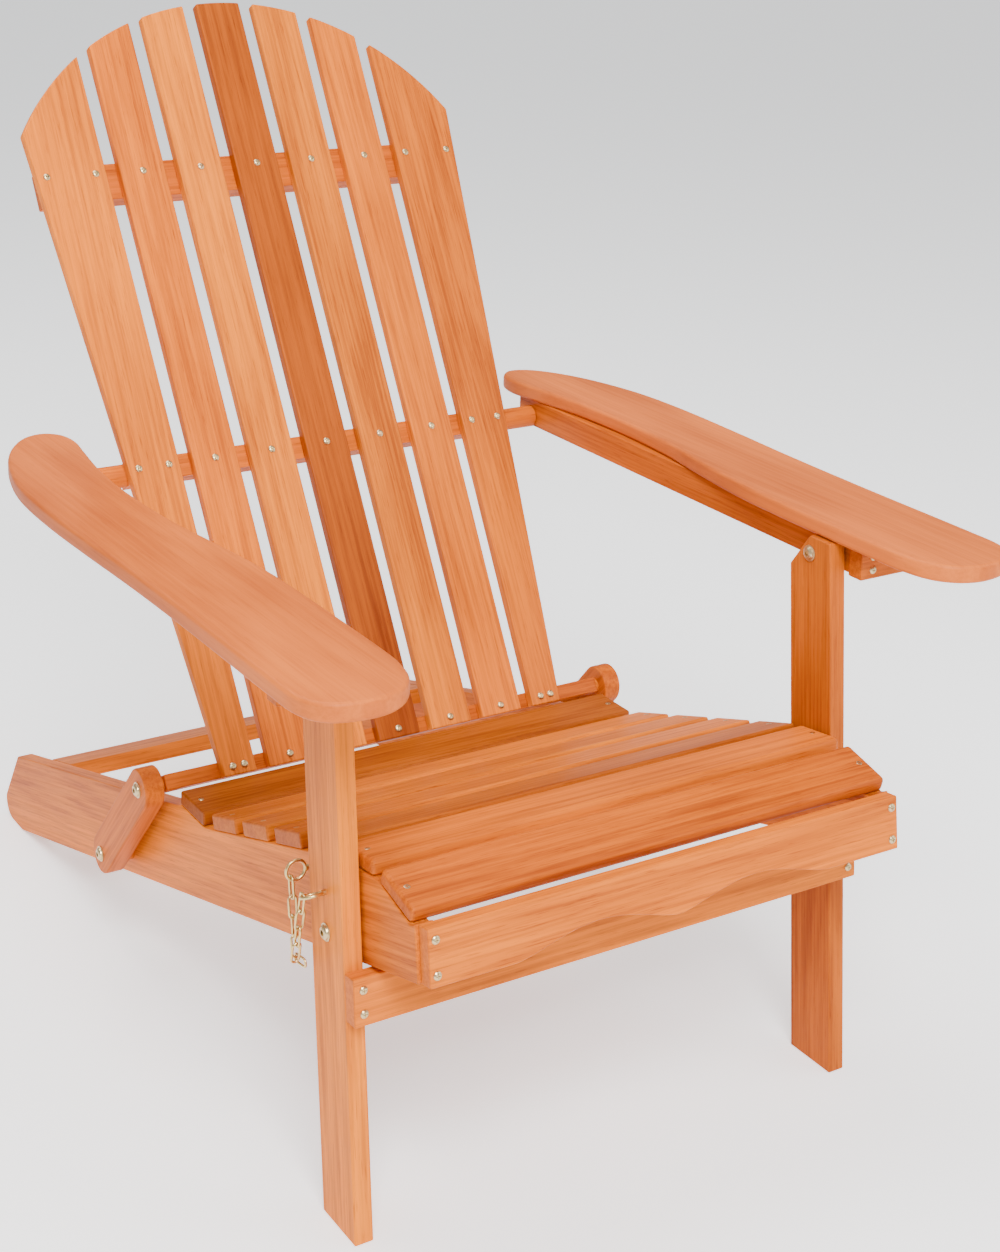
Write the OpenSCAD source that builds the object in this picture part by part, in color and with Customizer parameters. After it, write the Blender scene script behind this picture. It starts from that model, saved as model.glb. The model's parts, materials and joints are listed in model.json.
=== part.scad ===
// Folding slatted garden chair: sloping seat frame, reclined fan back, wide arms, folding front legs.
// X runs across the chair, the sitter faces -Y, Z is up. The origin is on the floor under the middle.

/* [Seat frame] */
// Width over the two rails, and the length of every seat slat
seat_w = 498; // [420:1:600]
// Thickness of a rail
rail_t = 18; // [14:1:26]
// Depth of a rail behind the seat, across its length
rail_depth = 89; // [70:1:110]
// Slope of the rails' straight lower edge
rail_slope = 16.57; // [12:0.01:20]
// Distance from the front legs' heels to the rear feet, along the floor
foot_y = 861; // [780:1:940]
// Length of the flat pad under a rear foot
foot_pad = 32; // [15:1:45]
// Radius of the rear foot's round heel
foot_r = 20; // [10:1:28]
// Width of one seat slat
slat_w = 54; // [40:1:60]
// Thickness of one seat slat
slat_t = 15; // [10:1:20]
// Distance from one slat to the next in the straight run of the seat
slat_pitch = 69.6; // [62:0.1:80]
// Slope of the straight run of the seat
seat_slope = 18.9; // [12:0.1:24]
// Height of the apron board
apron_h = 50; // [40:1:60]
// Thickness of the apron board
apron_t = 15; // [10:1:20]
// Backward tilt of the apron and of the rails' front ends
apron_tilt = 8; // [0:1:15]
// Height of each arch cut in the apron's lower edge
apron_arch = 16; // [0:1:24]

/* [Front legs] */
// Width of a leg board
leg_w = 58; // [44:1:70]
// Thickness of a leg board
leg_t = 18; // [14:1:26]
// Height of a leg's flat top
leg_top = 527; // [460:1:580]
// Backward lean of the legs
leg_lean = 5.66; // [0:0.01:9]
// Side gap between a rail and a leg, filled by a washer
leg_gap = 3; // [2:0.5:6]
// Height of the stretcher that ties the legs
stretcher_h = 43; // [30:1:50]
// Thickness of that stretcher
stretcher_t = 16; // [10:1:22]

/* [Arms] */
// Thickness of an armrest board
arm_t = 17; // [12:1:24]
// Height of the rail under an armrest
arm_rail_h = 31; // [24:1:40]
// Thickness of the rail under an armrest
arm_rail_t = 18; // [14:1:24]
// Side gap between a leg and an arm rail
arm_gap = 3; // [2:0.5:6]

/* [Back] */
// Recline of the back from upright
recline = 31.6; // [20:0.1:40]
// Thickness of a back slat
back_t = 12; // [9:1:16]
// Width of an inner back slat at its foot
back_slat_w = 48; // [36:1:52]
// Distance between inner back slats at their feet
back_pitch = 62.5; // [58:0.5:70]
// Distance from the lowest screw row to the crown of the back
back_h = 827; // [700:1:900]
// Radius of the arc that the slat tops follow
crown_r = 300.5; // [280:0.5:400]
// Depth of the battens behind the slats
batten_d = 24; // [18:1:30]

/* [Links and fittings] */
// Length of a link between its two bolts
link_len = 152; // [130:1:170]
// Width of a link
link_w = 42; // [34:1:50]
// Thickness of a link
link_t = 20; // [14:1:24]
// Side gap between a rail and a link, filled by a spacer
link_gap = 12; // [9:1:16]
// Diameter of the pivot bolts
bolt_d = 8; // [6:1:10]
// Diameter of the wood screws' shanks
screw_d = 3.4; // [2.5:0.1:4.5]
// Diameter of the wood screws' heads
screw_head_d = 8; // [6:0.1:10]
// Wire diameter of the chain
wire_d = 2.2; // [1.6:0.1:3]
// Outer length of one chain link
chain_len = 22.1; // [18:0.1:26]

/* [Hidden] */

$fn = 48;
// Radial clearance of a bolt in the part that turns on it
pin_clear = 0.08;
// Side and radial clearance round screws and between washers and what turns on them
fit_clear = 0.2;
// Gap left between a turning board and its neighbour
air = 1;

// Middle of the chair's depth, from the arm fronts to the rear feet
arm_front_y = -93;
heel_y = foot_y + foot_pad + foot_r;
mid_y = (arm_front_y + heel_y) / 2;

// Side planes, from the middle outwards
rail_x = seat_w / 2;
leg_in_x = rail_x + leg_gap;
leg_out_x = leg_in_x + leg_t;
arm_in_x = leg_out_x + arm_gap;
arm_out_x = arm_in_x + arm_rail_t;
link_in_x = rail_x + link_gap;
link_out_x = link_in_x + link_t;

// Rail outline
rail_tan = tan(rail_slope);
rail_front_y = -60;
function rail_low(y) = (foot_y - y) * rail_tan;
function rail_high(y) = rail_low(y) + rail_depth / cos(rail_slope);
heel_top = [foot_y + 8, rail_high(foot_y + 8)];

// Seat slats: [y, z, tilt] at the middle of each upper face, from the back to the front
seat_base = [304.9, 260.7];
function run_slat(i) = [
    seat_base[0] - i * slat_pitch * cos(seat_slope),
    seat_base[1] + i * slat_pitch * sin(seat_slope), seat_slope];
SEAT = [
    [seat_base[0] + slat_pitch, seat_base[1] - slat_t + 0.6, 0],
    run_slat(0), run_slat(1), run_slat(2), run_slat(3),
    [run_slat(3)[0] - 0.91 * slat_pitch, run_slat(3)[1] + 0.226 * slat_pitch, 8],
    [run_slat(3)[0] - 1.87 * slat_pitch, run_slat(3)[1] + 0.177 * slat_pitch, -13.9]];
// A point of slat s, u along its width towards the front and v above its upper face
function slat_point(s, u, v) = [
    s[0] - u * cos(s[2]) + v * sin(s[2]), s[1] + u * sin(s[2]) + v * cos(s[2])];
seat_screw_x = rail_x - rail_t / 2 - 1;
seat_sink = 1.5;

// Apron frame: its lower back edge is the lower front corner of the rails
apron_org = [rail_front_y, rail_low(rail_front_y)];
apron_half = rail_x - 3;
apron_screws_at = [10, 40];
arch_half = 164;

// Rear stretcher, flush with the rails' upper edge
stretch_y = 746;
rear_stretcher_t = 60;
rear_stretcher_h = 18;
tenon_h = 10;
tenon_t = 44;
tenon_l = 12;

// Pivots in the side view [y, z]
pivot_leg = [57, 269];
pivot_arm = [80, leg_top - 17];
back_org = [411.2, 254.1];
function back_point(along, behind) = [
    back_org[0] + along * sin(recline) + behind * cos(recline),
    back_org[1] + along * cos(recline) - behind * sin(recline)];
// The middle batten's screw row, where the back passes the arm rails' pivot height
back_pivot_z = leg_top - 18.9;
mid_row = (back_pivot_z - back_org[1] + (back_t + batten_d / 2) * sin(recline)) / cos(recline);
top_row = 634;
pivot_back = back_point(mid_row, back_t + batten_d / 2);
pivot_batten = back_point(0, back_t + batten_d / 2);
// The link's lower bolt sits in the rail, a link's length behind and below the upper one
link_angle = -48.7;
pivot_link = [
    pivot_batten[0] + link_len * cos(link_angle), pivot_batten[1] + link_len * sin(link_angle)];

// Back slats
slat_foot = -9;
fan_pitch = 0.0067;
fan_width = 0.0024;
outer_edge_foot = 198.5;
outer_edge_fan = 0.083;
crown_z = back_h - crown_r;
function pitch_at(s) = back_pitch + fan_pitch * (s - slat_foot);
function half_w_at(s) = back_slat_w / 2 + fan_width * (s - slat_foot);
function edge_in(k, s) = k * pitch_at(s) - half_w_at(s);
function edge_out(k, s) =
    k < 3 ? k * pitch_at(s) + half_w_at(s) : outer_edge_foot + outer_edge_fan * (s - slat_foot);
bottom_batten_h = 16;
middle_batten_h = 24;
top_batten_h = 40;
// Screw columns of the three rows, for slats 1 to 3 steps off the middle and the outer pair
function columns(s) = [
    0, pitch_at(s), 2 * pitch_at(s), edge_in(3, s) + 12, edge_out(3, s) - 11];

// Chain: both strands hang from their eyes to the bottom link [x, y, z]
chain_pitch = chain_len - 2 * wire_d - 0.3;
chain_w = 9.4;
strand_links = 4;
eye_r = 9;
eye_wire = 3;
eye_tilt = 25;
eye_hole = 5;
eye_depth = 10;
rail_eye_at = [105, 305];
leg_eye_at = [59, 305];
rail_stem = 16;
leg_stem = 4;
rail_strand = [-0.5, -11.5, -69] / norm([-0.5, -11.5, -69]);
leg_strand = [0, 14, -68] / norm([0, 14, -68]);
// Middle of each ring, and the point of its wire that a strand hangs on
rail_ring = [-(rail_x + rail_stem + eye_r), rail_eye_at[0], rail_eye_at[1]];
leg_ring = [-(leg_out_x + leg_stem + eye_r), leg_eye_at[0], leg_eye_at[1]];
rail_hang = rail_ring + eye_r * [-cos(60), 0, -sin(60)];
leg_hang = leg_ring + eye_r * [-cos(60), sin(60) * cos(eye_tilt), -sin(60) * sin(eye_tilt)];
rail_hook = rail_hang - rail_strand * (eye_wire / 2 + 0.6);
leg_hook = leg_hang - leg_strand * (eye_wire / 2 + 0.6);
// The bottom link reaches from the rail strand's last wire to beside the leg strand
bottom_dir = [0, -0.99, 0.14];
bottom_wire = rail_hook + rail_strand * (chain_pitch * strand_links + wire_d / 2 + 0.15);
bottom_link = bottom_wire + bottom_dir * (chain_len / 2 - 1.5 * wire_d - 0.15);

wood = [0.86, 0.55, 0.32];
wood_dark = [0.72, 0.42, 0.22];
wood_pale = [0.90, 0.64, 0.42];
brass = [0.83, 0.72, 0.42];

// ---------- Shared shapes ----------

// Moves a shape from the drawing's frame to the chair's origin
module place() { translate([0, -mid_y, 0]) children(); }

// Left is the sitter's left, on +X
module on_side(side) {
    if (side > 0) children();
    else mirror([1, 0, 0]) children();
}

// Board whose outline is drawn in the side view, from x to x + t
module side_board(x, t) { translate([x, 0, 0]) rotate([90, 0, 90]) linear_extrude(t) children(); }

// Bore along X through the point p of the side view
module bore_x(p, r, x, length) {
    translate([x, p[0], p[1]]) rotate([0, 90, 0]) cylinder(r = r, h = length);
}

// Frame of a slat: x across, y towards the front along its width, z out of its upper face
module slat_frame(s) { translate([0, s[0], s[1]]) rotate([-s[2], 0, 0]) children(); }

// Frame of the back: y behind the slats' front face, z along the slats from the lowest screws
module back_frame() { translate([0, back_org[0], back_org[1]]) rotate([-recline, 0, 0]) children(); }

// Frame of the legs: y behind their front edge, z along them
module leg_frame() { rotate([-leg_lean, 0, 0]) children(); }

module apron_frame() { translate([0, apron_org[0], apron_org[1]]) rotate([-apron_tilt, 0, 0]) children(); }

// Cross-head wood screw, its head's underside at z = 0 and its shank along -z
module wood_screw(length) {
    head_h = 1.8;
    difference() {
        union() {
            rotate_extrude()
                polygon([[0, 0], [screw_head_d / 2, 0], [screw_head_d / 2 - 0.3, 0.8],
                    [screw_head_d / 2 - 1.2, 1.5], [screw_head_d / 4, head_h], [0, head_h]]);
            translate([0, 0, -length]) cylinder(d = screw_d, h = length + 0.1);
        }
        for (a = [0, 90]) rotate([0, 0, a]) translate([-2.1, -0.35, head_h - 1]) cube([4.2, 0.7, 2]);
    }
}

module screw_bore(length) {
    translate([0, 0, -length]) cylinder(d = screw_d + 2 * fit_clear, h = length + 1);
}

// Cup-head bolt with a socket, its head's underside at x = 0, its shank along -x
module cup_bolt(length) {
    head_h = 4;
    rotate([0, 90, 0]) difference() {
        union() {
            rotate_extrude()
                polygon([[0, 0], [8, 0], [8, 0.9], [6.6, 1.1], [6.2, 2.4], [4.9, 3.5], [3.6, head_h],
                    [0, head_h]]);
            translate([0, 0, -length]) cylinder(d = bolt_d, h = length + 0.1);
        }
        translate([0, 0, head_h - 2.4]) cylinder(r = 2.8, h = 3, $fn = 6);
    }
}

// One chain link along z, centred, its flat turned by twist about z
module chain_link(twist) {
    r = (chain_w - wire_d) / 2;
    run = chain_len - chain_w;
    rotate([0, 0, twist]) {
        for (side = [-1, 1]) translate([side * r, 0, -run / 2]) cylinder(d = wire_d, h = run, $fn = 16);
        for (up = [0, 180]) rotate([0, up, 0]) translate([0, 0, run / 2]) rotate([90, 0, 0])
            rotate_extrude(angle = 180) translate([r, 0]) circle(d = wire_d, $fn = 16);
    }
}

// Turns the z axis of its children to the direction d, with their x axis kept level along y
module along(d) { rotate([asin(-d[1] / norm(d)), atan2(d[0], d[2]), 0]) children(); }

// n links from p in the direction d, each a quarter turn from the last
module chain_run(p, d, n, first_twist) {
    for (i = [0 : n - 1])
        translate(p + d * chain_pitch * (i + 0.5)) along(d) chain_link(first_twist + 90 * i);
}

// ---------- Seat frame ----------

// Side outline of a rail: straight below, following the slats' undersides above
module rail_outline() {
    seat_edge = [for (s = SEAT, u = [-1, 1]) slat_point(s, u * slat_w / 2, -slat_t)];
    heel = [for (a = [-90 : 15 : 15]) [foot_y + foot_pad + foot_r * cos(a), foot_r + foot_r * sin(a)]];
    front_top = [apron_org[0] + apron_h * sin(apron_tilt), apron_org[1] + apron_h * cos(apron_tilt)];
    polygon(concat(
        [[foot_y, 0]], heel, [heel_top, [heel_top[0] - 12, rail_high(heel_top[0] - 12)]],
        [[SEAT[0][0] + slat_w / 2 + 8, rail_high(SEAT[0][0] + slat_w / 2 + 8)]], seat_edge,
        [front_top, apron_org]));
}

module rail() {
    color(wood) place() difference() {
        side_board(rail_x - rail_t, rail_t) rail_outline();
        bore_x(pivot_leg, bolt_d / 2 + pin_clear, rail_x - rail_t - 1, rail_t + 2);
        bore_x(pivot_link, bolt_d / 2 + pin_clear, rail_x - rail_t - 1, rail_t + 2);
        for (s = SEAT) slat_frame(s) translate([seat_screw_x, 0, 0]) screw_bore(slat_t + 16);
        for (h = apron_screws_at) apron_frame() translate([rail_x - rail_t / 2 - 1, -apron_t, h])
            rotate([90, 0, 0]) screw_bore(apron_t + 21);
        rear_stretcher_frame()
            translate([rail_x - rail_t - 1, rear_stretcher_t / 2, -rear_stretcher_h / 2])
                tenon(fit_clear, tenon_l + 1 + fit_clear);
    }
}

module rail_left() { rail(); }

module rail_right() {
    difference() {
        mirror([1, 0, 0]) rail();
        place() bore_x(rail_eye_at, eye_hole / 2 + fit_clear, -rail_x - 1, eye_depth + 2);
    }
}

module seat_slat(i) {
    color(i < 5 ? wood_dark : wood) place() slat_frame(SEAT[i]) difference() {
        translate([-rail_x, -slat_w / 2, -slat_t]) cube([seat_w, slat_w, slat_t]);
        for (side = [-1, 1]) translate([side * seat_screw_x, 0, 0]) {
            screw_bore(slat_t + 1);
            translate([0, 0, -seat_sink]) cylinder(d = screw_head_d + 1, h = seat_sink + 1);
        }
    }
}

module seat_slat_1() { seat_slat(0); }
module seat_slat_2() { seat_slat(1); }
module seat_slat_3() { seat_slat(2); }
module seat_slat_4() { seat_slat(3); }
module seat_slat_5() { seat_slat(4); }
module seat_slat_6() { seat_slat(5); }
module seat_slat_7() { seat_slat(6); }

module seat_slat_screws() {
    color(brass) place() for (s = SEAT, side = [-1, 1])
        slat_frame(s) translate([side * seat_screw_x, 0, -seat_sink]) wood_screw(slat_t - seat_sink + 14);
}

// Lower edge of the apron above its ends, two arches that meet at the middle
function arch(x) = abs(x) > arch_half ? 0 : apron_arch * pow(sin(180 * abs(x) / arch_half), 1.4);

module apron() {
    edge = [for (x = [-arch_half : 8 : arch_half]) [x, arch(x)]];
    color(wood) place() apron_frame() difference() {
        translate([0, -apron_t, 0]) rotate([90, 0, 0]) translate([0, 0, -apron_t]) linear_extrude(apron_t)
            polygon(concat([[-apron_half, apron_h], [-apron_half, 0]], edge,
                [[apron_half, 0], [apron_half, apron_h]]));
        for (h = apron_screws_at, side = [-1, 1])
            translate([side * (rail_x - rail_t / 2 - 1), -apron_t, h]) rotate([90, 0, 0])
                screw_bore(apron_t + 1);
    }
}

module apron_screws() {
    color(brass) place() apron_frame() for (h = apron_screws_at, side = [-1, 1])
        translate([side * (rail_x - rail_t / 2 - 1), -apron_t, h]) rotate([90, 0, 0])
            wood_screw(apron_t + 19);
}

// Frame at the stretcher's upper front edge: y back along the rails, z out of their upper edge
module rear_stretcher_frame() {
    translate([0, stretch_y, rail_high(stretch_y)]) rotate([-rail_slope, 0, 0]) children();
}

module tenon(grow, length) {
    translate([0, -tenon_t / 2 - grow, -tenon_h / 2 - grow])
        cube([length, tenon_t + 2 * grow, tenon_h + 2 * grow]);
}

module rear_stretcher() {
    inner = rail_x - rail_t;
    color(wood_dark) place() rear_stretcher_frame() {
        translate([-inner, 0, -rear_stretcher_h])
            cube([2 * inner, rear_stretcher_t, rear_stretcher_h]);
        for (side = [-1, 1]) on_side(side)
            translate([inner - 1, rear_stretcher_t / 2, -rear_stretcher_h / 2]) tenon(0, tenon_l + 1);
    }
}

// Screw eye pointing along -x, its ring tilted about the stem
module screw_eye(stem, tilt) {
    translate([-stem, 0, 0]) rotate([0, 90, 0]) cylinder(d = eye_hole, h = eye_depth + stem);
    translate([-stem - eye_r, 0, 0]) rotate([tilt, 0, 0])
        rotate_extrude() translate([eye_r, 0]) circle(d = eye_wire, $fn = 16);
}

module rail_eye() {
    color(brass) place() translate([-rail_x, rail_eye_at[0], rail_eye_at[1]])
        screw_eye(rail_stem, 90);
}

// Spacers between the rails and the links, on the rail bolts
module link_spacers() {
    color(wood_dark) place() for (side = [-1, 1]) on_side(side) difference() {
        bore_x(pivot_link, 13, rail_x, link_gap - fit_clear);
        bore_x(pivot_link, bolt_d / 2 + pin_clear, rail_x - 1, link_gap + 2);
    }
}

// ---------- Front legs ----------

module leg_outline() {
    foot = leg_w / cos(leg_lean);
    slope = tan(leg_lean);
    clip = 35;
    polygon([[0, 0], [foot, 0], [foot + slope * (leg_top - clip), leg_top - clip],
        [slope * leg_top + foot - 29, leg_top], [slope * leg_top, leg_top]]);
}

module leg() {
    color(wood) place() difference() {
        side_board(leg_in_x, leg_t) leg_outline();
        bore_x(pivot_leg, bolt_d / 2 + fit_clear, leg_in_x - 1, leg_t + 2);
        bore_x(pivot_arm, bolt_d / 2 + fit_clear, leg_in_x - 1, leg_t + 2);
        leg_frame() for (h = stretcher_screws_at) translate([leg_in_x + leg_t / 2, 0, h])
            rotate([90, 0, 0]) screw_bore(22);
    }
}

stretcher_top = 248;
stretcher_screws_at = [stretcher_top - 11, stretcher_top - stretcher_h + 11];

module leg_left() { leg(); }

module leg_right() {
    difference() {
        mirror([1, 0, 0]) leg();
        place() bore_x(leg_eye_at, eye_hole / 2 + fit_clear, -leg_out_x - 1, eye_depth + 2);
    }
}

module front_stretcher() {
    color(wood_pale) place() leg_frame() difference() {
        translate([-leg_out_x, -stretcher_t, stretcher_top - stretcher_h])
            cube([2 * leg_out_x, stretcher_t, stretcher_h]);
        for (side = [-1, 1], h = stretcher_screws_at)
            translate([side * (leg_in_x + leg_t / 2), -stretcher_t, h]) rotate([90, 0, 0])
                screw_bore(stretcher_t + 1);
    }
}

module front_stretcher_screws() {
    color(brass) place() leg_frame() for (side = [-1, 1], h = stretcher_screws_at)
        translate([side * (leg_in_x + leg_t / 2), -stretcher_t, h]) rotate([90, 0, 0])
            wood_screw(stretcher_t + 20);
}

module leg_eye() {
    color(brass) place() translate([-leg_out_x, leg_eye_at[0], leg_eye_at[1]])
        screw_eye(leg_stem, -eye_tilt);
}

// Bolts on which the legs turn in the rails
module leg_pivot_bolts() {
    length = leg_t + leg_gap + rail_t - 1;
    color(brass) place() for (side = [-1, 1]) on_side(side)
        translate([leg_out_x, pivot_leg[0], pivot_leg[1]]) cup_bolt(length);
}

module leg_washers() {
    color(brass) place() for (side = [-1, 1]) on_side(side) difference() {
        bore_x(pivot_leg, 9, rail_x + fit_clear, leg_gap - fit_clear);
        bore_x(pivot_leg, bolt_d / 2 + fit_clear, rail_x - 1, leg_gap + 2);
    }
}

// Bolts on which the arms turn on the legs, their heads on the legs' inner faces
module arm_pivot_bolts() {
    length = leg_t + arm_gap + arm_rail_t - 1;
    color(brass) place() for (side = [-1, 1]) on_side(side)
        translate([leg_in_x, pivot_arm[0], pivot_arm[1]]) mirror([1, 0, 0]) cup_bolt(length);
}

// ---------- Arms ----------

arm_under = leg_top + air;
arm_end_y = pivot_back[0] + 25;
cleat_y = [25, 43];
cleat_x = [leg_out_x - 2, leg_out_x + 62];
cleat_screws_at = [-9, -22];
// Plan of the left armrest [x past the legs' outer face, y], round the front and back along the sides
ARM = [
    [42, arm_front_y], [74, -84], [89, -58], [91, -5], [91, 125], [93, 240], [97, 340], [99, 425],
    [96, 500], [85, 560], [67, 612], [42, 650], [17, 662], [-1, 650], [-7, 622], [-2, 585],
    [7, 520], [11, 440], [7, 350], [-2, 280], [-11, 205], [-14, 125], [-14, -5], [-12, -40],
    [-4, -68], [15, -87]];

// Smooth closed curve through the points p, n steps between each pair
function curve(p, n) = [
    for (i = [0 : len(p) - 1], k = [0 : n - 1])
        let (a = p[(i + len(p) - 1) % len(p)], b = p[i], c = p[(i + 1) % len(p)],
            d = p[(i + 2) % len(p)], t = k / n)
        b + (c - a) / 2 * t + (2 * a - 5 * b + 4 * c - d) / 2 * t * t
            + (3 * b - a - 3 * c + d) / 2 * t * t * t];

module armrest(side) {
    color(wood_pale) place() on_side(side) translate([leg_out_x, 0, arm_under])
        linear_extrude(arm_t) polygon(curve(ARM, 5));
}

module arm_rail(side) {
    color(wood_dark) place() on_side(side) difference() {
        translate([arm_in_x, cleat_y[1], arm_under - arm_rail_h])
            cube([arm_rail_t, arm_end_y - cleat_y[1], arm_rail_h]);
        bore_x(pivot_arm, bolt_d / 2 + pin_clear, arm_in_x - 1, arm_rail_t + 2);
        bore_x(pivot_back, bolt_d / 2 + fit_clear, arm_in_x - 1, arm_rail_t + 2);
        for (h = cleat_screws_at) translate([arm_in_x + arm_rail_t / 2, cleat_y[0], arm_under + h])
            rotate([90, 0, 0]) screw_bore(38);
    }
}

module arm_cleat(side) {
    color(wood) place() on_side(side) difference() {
        translate([cleat_x[0], cleat_y[0], arm_under - arm_rail_h])
            cube([cleat_x[1] - cleat_x[0], cleat_y[1] - cleat_y[0], arm_rail_h]);
        for (h = cleat_screws_at) translate([arm_in_x + arm_rail_t / 2, cleat_y[0], arm_under + h])
            rotate([90, 0, 0]) screw_bore(19);
    }
}

module arm_screws(side) {
    color(brass) place() on_side(side) for (h = cleat_screws_at)
        translate([arm_in_x + arm_rail_t / 2, cleat_y[0], arm_under + h]) rotate([90, 0, 0])
            wood_screw(36);
}

// Bolt of the upper back pivot. It stops short of the middle batten's end
module back_pivot_bolt(side) {
    color(brass) place() on_side(side)
        translate([arm_out_x, pivot_back[0], pivot_back[1]]) cup_bolt(arm_rail_t);
}

module armrest_left() { armrest(1); }
module arm_rail_left() { arm_rail(1); }
module arm_cleat_left() { arm_cleat(1); }
module arm_screws_left() { arm_screws(1); }
module back_pivot_bolt_left() { back_pivot_bolt(1); }
module armrest_right() { armrest(-1); }
module arm_rail_right() { arm_rail(-1); }
module arm_cleat_right() { arm_cleat(-1); }
module arm_screws_right() { arm_screws(-1); }
module back_pivot_bolt_right() { back_pivot_bolt(-1); }

// ---------- Links ----------

// Side outline of a link: straight edges with a half circle round each bolt
module link_outline() {
    r = link_w / 2;
    polygon(concat(
        [for (a = [90 : 10 : 270])
            pivot_batten + r * [cos(a + link_angle), sin(a + link_angle)]],
        [for (a = [-90 : 10 : 90])
            pivot_link + r * [cos(a + link_angle), sin(a + link_angle)]]));
}

module link(side) {
    color(wood_dark) place() on_side(side) difference() {
        side_board(link_in_x, link_t) link_outline();
        bore_x(pivot_batten, bolt_d / 2 + fit_clear, link_in_x - 1, link_t + 2);
        bore_x(pivot_link, bolt_d / 2 + fit_clear, link_in_x - 1, link_t + 2);
    }
}

module link_rail_bolt(side) {
    color(brass) place() on_side(side) translate([link_out_x, pivot_link[0], pivot_link[1]])
        cup_bolt(link_t + link_gap + rail_t - 1);
}

module link_back_bolt(side) {
    color(brass) place() on_side(side) translate([link_out_x, pivot_batten[0], pivot_batten[1]])
        cup_bolt(link_t + batten_gap + batten_bolt);
}

module link_left() { link(1); }
module link_rail_bolt_left() { link_rail_bolt(1); }
module link_back_bolt_left() { link_back_bolt(1); }
module link_right() { link(-1); }
module link_rail_bolt_right() { link_rail_bolt(-1); }
module link_back_bolt_right() { link_back_bolt(-1); }

// ---------- Back ----------

batten_gap = 5;
batten_bolt = 30;
bottom_half = link_in_x - batten_gap;
middle_half = arm_in_x - air;
top_half = edge_out(3, top_row) - 8;

// Front outline of the slat k steps from the middle, its top cut to the crown arc
module back_slat_outline(k) {
    intersection() {
        polygon([[edge_in(k, slat_foot), slat_foot], [edge_out(k, slat_foot), slat_foot],
            [edge_out(k, back_h + 10), back_h + 10], [edge_in(k, back_h + 10), back_h + 10]]);
        union() {
            translate([0, crown_z]) circle(r = crown_r, $fn = 180);
            translate([-crown_r, slat_foot]) square([2 * crown_r, crown_z - slat_foot]);
        }
    }
}

module back_slat(number) {
    k = number - 4;
    color(number == 4 ? wood_dark : wood) place() back_frame() difference() {
        on_side(k < 0 ? -1 : 1) translate([0, back_t, 0]) rotate([90, 0, 0]) linear_extrude(back_t)
            back_slat_outline(abs(k));
        for (row = [0, mid_row, top_row]) row_bores(row, back_t);
    }
}

module back_slat_1() { back_slat(1); }
module back_slat_2() { back_slat(2); }
module back_slat_3() { back_slat(3); }
module back_slat_4() { back_slat(4); }
module back_slat_5() { back_slat(5); }
module back_slat_6() { back_slat(6); }
module back_slat_7() { back_slat(7); }

// Screw places of one row, with the pair at x = 0 made once
module row_places(row) {
    cols = columns(row);
    translate([0, 0, row]) rotate([90, 0, 0]) children();
    for (i = [1 : 4], side = [-1, 1]) translate([side * cols[i], 0, row]) rotate([90, 0, 0]) children();
}

module row_bores(row, depth) { row_places(row) screw_bore(depth + 1); }

module batten(row, half, height, drop) {
    color(wood_dark) place() back_frame() difference() {
        translate([-half, back_t, row - drop - height / 2]) cube([2 * half, batten_d, height]);
        row_bores(row, back_t + 17);
        if (row == 0) for (side = [-1, 1]) translate([side * half, back_t + batten_d / 2, 0])
            rotate([0, -side * 90, 0]) translate([0, 0, -1])
                cylinder(r = bolt_d / 2 + pin_clear, h = batten_bolt + 2);
    }
}

module top_batten() { batten(top_row, top_half, top_batten_h, 5); }

// The middle batten's ends are rounded where they turn beside the arm rails
module middle_batten() {
    straight = columns(mid_row)[4] + 8;
    color(wood_dark) place() back_frame() difference() {
        union() {
            translate([-straight, back_t, mid_row - middle_batten_h / 2])
                cube([2 * straight, batten_d, middle_batten_h]);
            translate([-middle_half, back_t + batten_d / 2, mid_row]) rotate([0, 90, 0])
                cylinder(d = min(batten_d, middle_batten_h), h = 2 * middle_half);
        }
        row_bores(mid_row, back_t + 17);
    }
}

module bottom_batten() { batten(0, bottom_half, bottom_batten_h, 0); }

module row_screws(row) { color(brass) place() back_frame() row_places(row) wood_screw(back_t + 15); }

module top_batten_screws() { row_screws(top_row); }
module middle_batten_screws() { row_screws(mid_row); }
module bottom_batten_screws() { row_screws(0); }

// Washers between the bottom batten's ends and the links
module batten_washers() {
    color(wood_dark) place() for (side = [-1, 1]) on_side(side) difference() {
        bore_x(pivot_batten, 8, bottom_half, batten_gap - fit_clear);
        bore_x(pivot_batten, bolt_d / 2 + pin_clear, bottom_half - 1, batten_gap + 2);
    }
}

// ---------- Chain ----------

module chain_rail_strand() {
    color(brass) place() {
        chain_run(rail_hook, rail_strand, strand_links, 90);
        translate(bottom_link) along(bottom_dir) chain_link(90);
    }
}

module chain_leg_strand() {
    color(brass) place() chain_run(leg_hook, leg_strand, strand_links, 90);
}

rail_left();
rail_right();
seat_slat_1();
seat_slat_2();
seat_slat_3();
seat_slat_4();
seat_slat_5();
seat_slat_6();
seat_slat_7();
seat_slat_screws();
apron();
apron_screws();
rear_stretcher();
rail_eye();
link_spacers();
leg_left();
leg_right();
front_stretcher();
front_stretcher_screws();
leg_eye();
leg_pivot_bolts();
leg_washers();
arm_pivot_bolts();
armrest_left();
arm_rail_left();
arm_cleat_left();
arm_screws_left();
back_pivot_bolt_left();
armrest_right();
arm_rail_right();
arm_cleat_right();
arm_screws_right();
back_pivot_bolt_right();
link_left();
link_rail_bolt_left();
link_back_bolt_left();
link_right();
link_rail_bolt_right();
link_back_bolt_right();
back_slat_1();
back_slat_2();
back_slat_3();
back_slat_4();
back_slat_5();
back_slat_6();
back_slat_7();
top_batten();
middle_batten();
bottom_batten();
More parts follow.
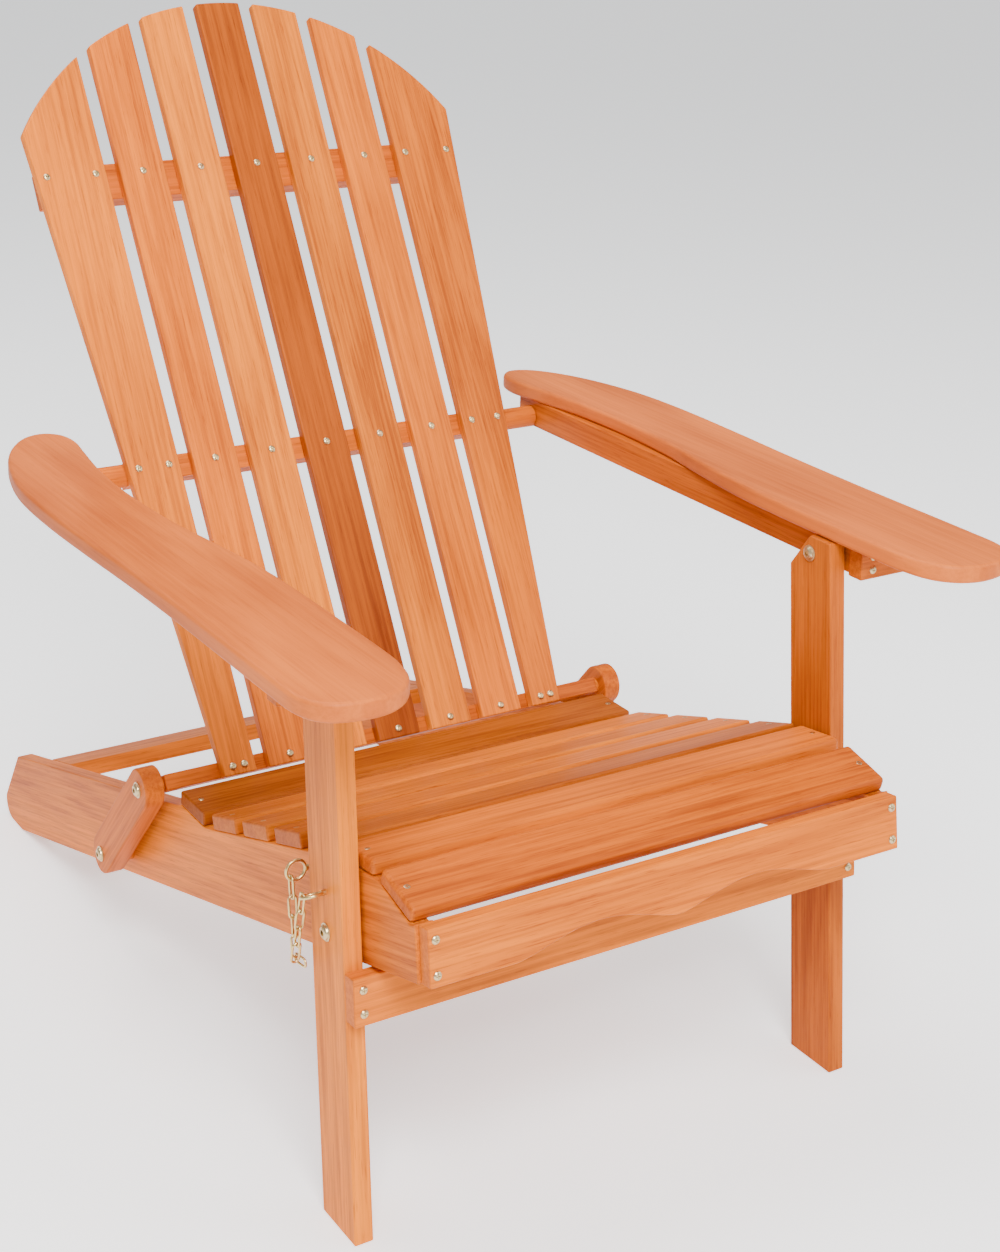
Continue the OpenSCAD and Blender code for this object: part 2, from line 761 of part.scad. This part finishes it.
top_batten_screws();
middle_batten_screws();
bottom_batten_screws();
batten_washers();
chain_rail_strand();
chain_leg_strand();
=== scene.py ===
"""The look of the folding garden chair: oiled hardwood boards, plated screws, a pale floor."""

import json
import math

import bmesh
import bpy
from mathutils import Matrix, Vector


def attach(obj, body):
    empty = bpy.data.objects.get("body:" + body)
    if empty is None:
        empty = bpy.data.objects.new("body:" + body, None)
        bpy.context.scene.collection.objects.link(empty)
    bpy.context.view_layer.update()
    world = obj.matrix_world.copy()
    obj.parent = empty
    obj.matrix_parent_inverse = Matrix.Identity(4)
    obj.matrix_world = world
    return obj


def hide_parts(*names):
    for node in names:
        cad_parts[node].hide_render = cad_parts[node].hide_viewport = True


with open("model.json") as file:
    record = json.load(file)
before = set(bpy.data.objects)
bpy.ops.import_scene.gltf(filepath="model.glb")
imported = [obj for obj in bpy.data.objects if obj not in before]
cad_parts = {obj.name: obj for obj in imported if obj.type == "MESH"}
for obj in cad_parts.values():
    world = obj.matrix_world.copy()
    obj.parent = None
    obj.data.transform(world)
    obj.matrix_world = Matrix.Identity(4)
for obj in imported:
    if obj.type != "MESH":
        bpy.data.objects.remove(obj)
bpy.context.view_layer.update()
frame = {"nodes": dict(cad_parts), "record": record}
NODES = frame["nodes"]
BODY = {n: body for body, group in frame["record"]["behaviour"]["bodies"].items() for n in group}
SLOTS = {s["node"]: s["material_slot"] for s in frame["record"]["subparts"]}


# ---------- Shader maths ----------


class Value:
    """A shader number or vector; arithmetic on it adds Math or Vector Math nodes."""

    def __init__(self, tree, socket=None):
        self.tree, self.socket = tree, socket

    def make(self, kind, inputs, output=0, **settings):
        """Adds a node of one kind: its settings first, then each socket's value or link."""
        made = self.tree.nodes.new(kind)
        for name, value in settings.items():
            setattr(made, name, value)
        for key, value in inputs.items():
            if isinstance(value, Value):
                self.tree.links.new(value.socket, made.inputs[key])
            else:
                made.inputs[key].default_value = value
        return Value(self.tree, made.outputs[output])

    def feed(self, shader, name):
        """Links this to an input of the shader."""
        self.tree.links.new(self.socket, shader.inputs[name])

    def op(self, operation, other=0.0):
        return self.make("ShaderNodeMath", {0: self, 1: other}, operation=operation)

    def __add__(self, other):
        return self.op("ADD", other)

    def __sub__(self, other):
        return self.op("SUBTRACT", other)

    def __rsub__(self, other):
        return self.make("ShaderNodeMath", {0: other, 1: self}, operation="SUBTRACT")

    def __mul__(self, other):
        return self.op("MULTIPLY", other)

    __radd__, __rmul__ = __add__, __mul__

    def dot(self, vector):
        return self.make(
            "ShaderNodeVectorMath", {0: self, 1: tuple(vector)}, output=1, operation="DOT_PRODUCT"
        )

    def step(self, low, high):
        """0 below low, 1 above high, smooth between."""
        return self.make(
            "ShaderNodeMapRange", {0: self, 1: low, 2: high}, interpolation_type="SMOOTHSTEP"
        )

    def combine(self, y, z):
        return self.make("ShaderNodeCombineXYZ", {0: self, 1: y, 2: z})

    def noise(self, scale, detail=2.0, rough=0.5):
        """Noise of this vector, 0 to 1."""
        return self.make(
            "ShaderNodeTexNoise", {"Vector": self, "Scale": scale, "Detail": detail, "Roughness": rough}
        )

    def mix(self, low, high):
        """The colour low where this number is 0 and high where it is 1."""
        return self.make(
            "ShaderNodeMix", {0: self, 6: low, 7: high}, output=2, data_type="RGBA"
        )


def new_material(name):
    """A material, its shader, and the place on the piece that its patterns start from."""
    made = bpy.data.materials.new(name)
    made.use_nodes = True
    tree = made.node_tree
    shader = next(n for n in tree.nodes if n.type == "BSDF_PRINCIPLED")
    return made, shader, Value(tree).make("ShaderNodeTexCoord", {}, output="Object")


# ---------- Wood, metal and paint ----------

# How fine each pattern is along the grain and across it, in 1/m
WARP, DRIFT, PATCH = (1.3, 7.0), (0.9, 5.0), (3.2, 14.0)
STREAK, FIBRE = (7.0, 300.0), (34.0, 900.0)
# Growth rings: radians per metre, and how far the warp bends them, in metres
RING_RATE, RING_BEND = 420.0, 0.11
# How much each pattern darkens the wood; a board with little figure is evenly darker instead
RING_SHARE, STREAK_SHARE, PORE_SHARE = 0.16, 0.34, 0.34
PATCH_SHARE, DRIFT_SHARE, EVEN_SHARE = 0.34, 0.26, 0.22
# Red, green and blue of the oiled wood as shares of a board's tone, then of the lightest wood,
# the darkest wood and the sawn ends as shares of that
OILED = (0.92, 0.46, 0.02)
LIGHT, DARK, SAWN = (1.30, 1.45, 1.7), (0.50, 0.38, 0.30), (0.62, 0.48, 0.36)


def shade(tone, shares):
    """The oiled tone with its red, green and blue each multiplied by a share."""
    return (*(colour * oiled * share for colour, oiled, share in zip(tone, OILED, shares)), 1.0)


def grained(u, v, w, fineness, detail, rough=0.5):
    """Noise of (u * a, v * b, w * b), drawn out along the grain where a is less than b."""
    along, across = fineness
    return (u * along).combine(v * across, w * across).noise(1.0, detail, rough)


def wood(name, tone, along, face, ends, seed, figure):
    """Oiled hardwood whose grain runs along one axis of its board.

    u, v, w are lengths along the grain, across the face and into it. The growth rings are
    sin(RING_RATE * (v * cos t + w * sin t + a slow warp)). The wood goes from light to dark by
    the weighted sum of rings, streaks and pores, times the figure, and of soft patches and drift.
    """
    made, shader, place = new_material(name)
    across = along.cross(face).normalized()
    u = place.dot(along) + seed * 1.37
    v = place.dot(across) + seed * 0.61
    w = place.dot(face) + seed * 0.23
    warp = grained(u, v, w, WARP, 3.0)
    drift = grained(u, v, w, DRIFT, 1.0)
    streak = grained(u, v, w, STREAK, 3.0, 0.6)
    fibre = grained(u, v, w, FIBRE, 2.0, 0.6)
    patch = grained(u, v, w, PATCH, 2.0)
    tilt = 0.5 + 0.5 * math.sin(seed * 5.1)
    ring = (v * math.cos(tilt) + w * math.sin(tilt) + warp * RING_BEND) * RING_RATE
    ring = ring.op("SINE") * 0.5 + 0.5
    amount = ring * RING_SHARE * figure + streak.step(0.36, 0.68) * (STREAK_SHARE * figure)
    amount = amount + patch.step(0.3, 0.75) * PATCH_SHARE + drift.step(0.35, 0.7) * DRIFT_SHARE
    amount = amount + fibre.step(0.58, 0.70) * (PORE_SHARE * figure) + (1.0 - figure) * EVEN_SHARE
    colour = amount.mix(shade(tone, LIGHT), shade(tone, DARK))
    # The sawn ends drink more oil and are darker
    low, high = ends
    middle, half = (low + high) / 2, (high - low) / 2
    end = ((place.dot(along) - middle).op("ABSOLUTE")).step(half - 0.0012, half - 0.0005)
    (end * 0.35).mix(colour, shade(tone, SAWN)).feed(shader, "Base Color")
    (streak * 0.14 + 0.42).feed(shader, "Roughness")
    shader.inputs["Coat Weight"].default_value = 0.02
    shader.inputs["Coat Roughness"].default_value = 0.28
    shader.inputs["Specular IOR Level"].default_value = 0.10
    relief = streak * 0.5 + fibre * 0.5
    relief = relief.make("ShaderNodeBump", {"Strength": 0.16, "Distance": 0.0006, "Height": relief})
    relief.feed(shader, "Normal")
    return made


def plated(name, tone):
    """Yellow-plated steel, clouded in its gloss and a little pink in places."""
    made, shader, place = new_material(name)
    cloud = place.noise(160.0, 2.0)
    pink = place.noise(90.0, 1.0).step(0.55, 0.7)
    warm = (tone[0] * 1.02, tone[1] * 0.78, tone[2] * 0.95, 1.0)
    (pink * 0.45).mix((*tone, 1.0), warm).feed(shader, "Base Color")
    (cloud * 0.18 + 0.22).feed(shader, "Roughness")
    shader.inputs["Metallic"].default_value = 1.0
    return made


def pale_paint():
    """Matt pale grey that shines a little of itself, as a lit studio floor does."""
    made, shader, place = new_material("floor_paint")
    (place.noise(3.0) * 0.05 + 0.7).feed(shader, "Roughness")
    shader.inputs["Base Color"].default_value = (0.86, 0.86, 0.86, 1.0)
    shader.inputs["Emission Color"].default_value = (1.0, 1.0, 1.0, 1.0)
    shader.inputs["Emission Strength"].default_value = 0.7
    return made


# ---------- Boards ----------

X, Y, Z = Vector((1, 0, 0)), Vector((0, 1, 0)), Vector((0, 0, 1))


def tilted(degrees):
    """Direction in the side view, this far above straight back."""
    return Vector((0, math.cos(math.radians(degrees)), math.sin(math.radians(degrees))))


BACK, LEG, RAIL, LINK = tilted(58.4), tilted(84.3), tilted(-16.6), tilted(-48.7)
# Grain direction of each kind of board
GRAIN = {
    "rail": RAIL, "seat_slat": X, "apron": X, "leg": LEG, "rear_stretcher": X, "front_stretcher": X,
    "arm_rail": Y, "armrest": Y, "arm_cleat": X, "link": LINK, "back_slat": BACK, "top_batten": X,
    "middle_batten": X, "bottom_batten": X, "link_spacers": Z, "batten_washers": Z,
}
# Turned pieces, shown as their CAD solids, and their face directions
TURNED = {"middle_batten": BACK, "link_spacers": X, "batten_washers": X}
# Red, green and blue of the common board, and of each board that differs, before it is oiled; the left
# leg's tone is darkened as painted shade
HONEY = (0.66, 0.285, 0.108)
TONES = {
    "back_slat_1": (0.66, 0.285, 0.108), "back_slat_2": (0.74, 0.310, 0.10),
    "back_slat_3": (0.71, 0.325, 0.130), "back_slat_4": (0.34, 0.120, 0.040),
    "back_slat_5": (0.66, 0.300, 0.125), "back_slat_6": (0.65, 0.272, 0.098),
    "back_slat_7": (0.60, 0.250, 0.078),
    "seat_slat_1": (0.34, 0.140, 0.050), "seat_slat_2": (0.58, 0.255, 0.110),
    "seat_slat_3": (0.60, 0.275, 0.128), "seat_slat_4": (0.55, 0.235, 0.100),
    "seat_slat_5": (0.40, 0.165, 0.070), "seat_slat_6": (0.54, 0.215, 0.070),
    "seat_slat_7": (0.58, 0.230, 0.074),
    "apron": (0.64, 0.270, 0.100), "front_stretcher": (0.68, 0.300, 0.120),
    "rail_right": (0.66, 0.285, 0.110), "rail_left": (0.62, 0.255, 0.092),
    # The left leg stands on the far side in shadow, and its dark tone is painted shade
    "leg_right": (0.72, 0.340, 0.145), "leg_left": (0.46, 0.180, 0.060),
    "armrest_right": (0.66, 0.290, 0.80), "armrest_left": (0.62, 0.270, 0.80),
    "arm_rail_right": (0.60, 0.240, 0.090), "arm_rail_left": (0.52, 0.200, 0.070),
    "link_right": (0.52, 0.195, 0.074), "link_left": (0.52, 0.195, 0.074),
    "top_batten": (0.60, 0.225, 0.078), "middle_batten": (0.60, 0.225, 0.078),
    "bottom_batten": (0.56, 0.205, 0.068), "rear_stretcher": (0.66, 0.300, 0.125),
}
# Radius of the eased edges in metres: of most boards, of some kinds, and of the front seat slats
COMMON_EASED = 0.0014
EASED = {"armrest": 0.004, "seat_slat": 0.0022, "back_slat": 0.0018, "link": 0.002}
EXTRA_EASED = {"seat_slat_6": 0.0045, "seat_slat_7": 0.0045}
# Figure of the armrests, which are plainer than the other boards
ARMREST_FIGURE = 0.35
# Red, green and blue of the plating on the chain and its eyes, and on the screws and bolts
CHAIN_TONE, SCREW_TONE = (0.62, 0.45, 0.18), (0.55, 0.42, 0.22)
# Points closer than this are one, and a point this near a cap's height lies in the cap, in metres
WELD, LEVEL = 0.000002, 0.0002
# Edges that turn more than the first are eased, and more than the second shade as a crease
EASED_TURN, CREASE_TURN = math.radians(25), math.radians(40)


def kind_of(node):
    """The longest entry of GRAIN that starts this node's name."""
    found = [k for k in GRAIN if node.startswith(k)]
    return max(found, key=len) if found else None


def widest_face(obj):
    """Direction of the faces that together have the most area, pointing up, back or right."""
    outward = Vector((0.31, 0.42, 0.85))
    sums = {}
    for face in obj.data.polygons:
        n = face.normal
        if n.dot(outward) < 0:
            n = -n
        key = tuple(round(c, 2) for c in n)
        area, total = sums.get(key, (0.0, Vector()))
        sums[key] = (area + face.area, total + n * face.area)
    return max(sums.values(), key=lambda found: found[0])[1].normalized()


def length(points):
    """Length of the path through the points."""
    return sum((p - q).length for p, q in zip(points, points[1:]))


def outline(obj, face):
    """The outer edge of a board's upper cap as points in order, and the heights of its two caps.

    A point's height is p . n, with n the face direction. The cap's rim is every edge with one
    face in the cap, followed round, and the longest loop is the outer edge; the others are bores.
    """
    shape = bmesh.new()
    shape.from_mesh(obj.data)
    bmesh.ops.remove_doubles(shape, verts=shape.verts, dist=WELD)
    heights = [v.co.dot(face) for v in shape.verts]
    low, high = min(heights), max(heights)
    cap = {
        f for f in shape.faces
        if f.normal.dot(face) > 0.999 and f.calc_center_median().dot(face) > high - LEVEL
    }
    rim = {}
    for edge in shape.edges:
        inside = [f for f in edge.link_faces if f in cap]
        if len(inside) == 1:
            for one, two in ((0, 1), (1, 0)):
                rim.setdefault(edge.verts[one].index, []).append(edge.verts[two].index)
    shape.verts.ensure_lookup_table()
    best = []
    while rim:
        start = min(rim)
        loop, here = [], start
        while here is not None:
            loop.append(shape.verts[here].co.copy())
            ways = rim.pop(here)
            here = next((n for n in ways if n in rim), None)
        if length(loop) > length(best):
            best = loop
    shape.free()
    return best, low, high


def straighten(points):
    """Drops points that lie on a straight line between their neighbours."""
    kept = []
    for i, p in enumerate(points):
        before, after = p - points[i - 1], points[(i + 1) % len(points)] - p
        if before.length > 0.00001 and before.angle(after, 0.0) > 0.0005:
            kept.append(p)
    return kept


def board(name, face, radius):
    """A board with eased edges.

    Each point p of the CAD board's outline is laid on the lower cap, p - n * (p . n - low), with n
    the face direction. That cap is raised by n * (high - low), and the edges are rounded.
    """
    rim, low, high = outline(NODES[name], face)
    rim = straighten(rim)
    shape = bmesh.new()
    ring = [shape.verts.new(p - face * (p.dot(face) - low)) for p in rim]
    cap = shape.faces.new(ring)
    raised = bmesh.ops.extrude_face_region(shape, geom=[cap])["geom"]
    bmesh.ops.translate(
        shape, vec=face * (high - low), verts=[g for g in raised if isinstance(g, bmesh.types.BMVert)]
    )
    bmesh.ops.recalc_face_normals(shape, faces=shape.faces)
    sharp = [e for e in shape.edges if e.calc_face_angle(0.0) > EASED_TURN]
    bmesh.ops.bevel(
        shape, geom=sharp, offset=radius, segments=3, profile=0.5, affect="EDGES", clamp_overlap=True
    )
    mesh = bpy.data.meshes.new(name + "_board")
    shape.to_mesh(mesh)
    shape.free()
    mesh.shade_smooth()
    mesh.set_sharp_from_angle(angle=CREASE_TURN)
    made = bpy.data.objects.new(name + "_board", mesh)
    bpy.context.scene.collection.objects.link(made)
    weigh = made.modifiers.new("even", "WEIGHTED_NORMAL")
    weigh.keep_sharp = True
    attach(made, BODY[name])
    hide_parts(name)
    return made


def dress():
    """Gives each wooden node an eased board in its place and each fitting its plating."""
    for count, (name, obj) in enumerate(sorted(NODES.items())):
        if SLOTS[name] == "brass":
            obj.data.materials.clear()
            tone = CHAIN_TONE if "chain" in name or "eye" in name else SCREW_TONE
            obj.data.materials.append(plated("metal_" + name, tone))
            continue
        kind = kind_of(name)
        if name in TURNED:
            face, shown = TURNED[name], obj
            obj.data.materials.clear()
        else:
            face = widest_face(obj)
            shown = board(name, face, EXTRA_EASED.get(name, EASED.get(kind, COMMON_EASED)))
        along = GRAIN[kind]
        reach = [v.co.dot(along) for v in shown.data.vertices]
        figure = ARMREST_FIGURE if kind == "armrest" else 1.0
        seed = count * 1.93 + 0.7
        shown.data.materials.append(
            wood(
                "wood_" + name, TONES.get(name, HONEY), along, face, (min(reach), max(reach)), seed,
                figure,
            )
        )


dress()


# ---------- Floor, light and camera ----------


def floor():
    """A pale square floor."""
    half = 14.0
    corners = [(-half, -half, 0), (half, -half, 0), (half, half, 0), (-half, half, 0)]
    mesh = bpy.data.meshes.new("floor")
    mesh.from_pydata(corners, [], [(0, 1, 2, 3)])
    made = bpy.data.objects.new("floor", mesh)
    bpy.context.scene.collection.objects.link(made)
    mesh.materials.append(pale_paint())


def lamp(name, place, target, size, power):
    """A square soft white light at a place, turned to a target; size in metres, power in watts."""
    data = bpy.data.lights.new(name, "AREA")
    data.size, data.energy = size, power
    made = bpy.data.objects.new(name, data)
    made.location = place
    made.rotation_mode = "QUATERNION"
    made.rotation_quaternion = (Vector(target) - Vector(place)).to_track_quat("-Z", "Y")
    bpy.context.scene.collection.objects.link(made)


def sky(strength):
    """Faintly blue light from all round."""
    world = bpy.data.worlds.new("studio")
    world.use_nodes = True
    back = next(n for n in world.node_tree.nodes if n.type == "BACKGROUND")
    back.inputs[0].default_value = (0.95, 0.97, 1.0, 1.0)
    back.inputs[1].default_value = strength
    bpy.context.scene.world = world


def camera():
    """The front three-quarter view: place in metres; azimuth, elevation and roll in degrees."""
    place = Vector((-1.0318, -1.7944, 1.1911))
    turn, rise, roll = (math.radians(a) for a in (-32.498, 15.035, 1.652))
    back = Vector((math.sin(turn) * math.cos(rise), -math.cos(turn) * math.cos(rise), math.sin(rise)))
    side = Z.cross(back).normalized()
    top = back.cross(side)
    right = side * math.cos(roll) + top * math.sin(roll)
    above = top * math.cos(roll) - side * math.sin(roll)
    data = bpy.data.cameras.new("camera")
    data.lens, data.sensor_width, data.shift_y = 62.226, 36.0, -0.2
    data.clip_start, data.clip_end = 0.05, 100.0
    made = bpy.data.objects.new("camera", data)
    turned = Matrix((right, above, back)).transposed().to_4x4()
    made.matrix_world = Matrix.Translation(place) @ turned
    bpy.context.scene.collection.objects.link(made)
    bpy.context.scene.camera = made


floor()
lamp("key", (-1.2, -2.6, 3.0), (0, 0, 0.4), 1.6, 260)
lamp("fill", (2.8, -2.0, 2.0), (0, 0, 0.4), 2.6, 70)
lamp("top", (-0.6, 0.9, 3.4), (0, 0, 0.3), 2.4, 120)
sky(0.55)
camera()
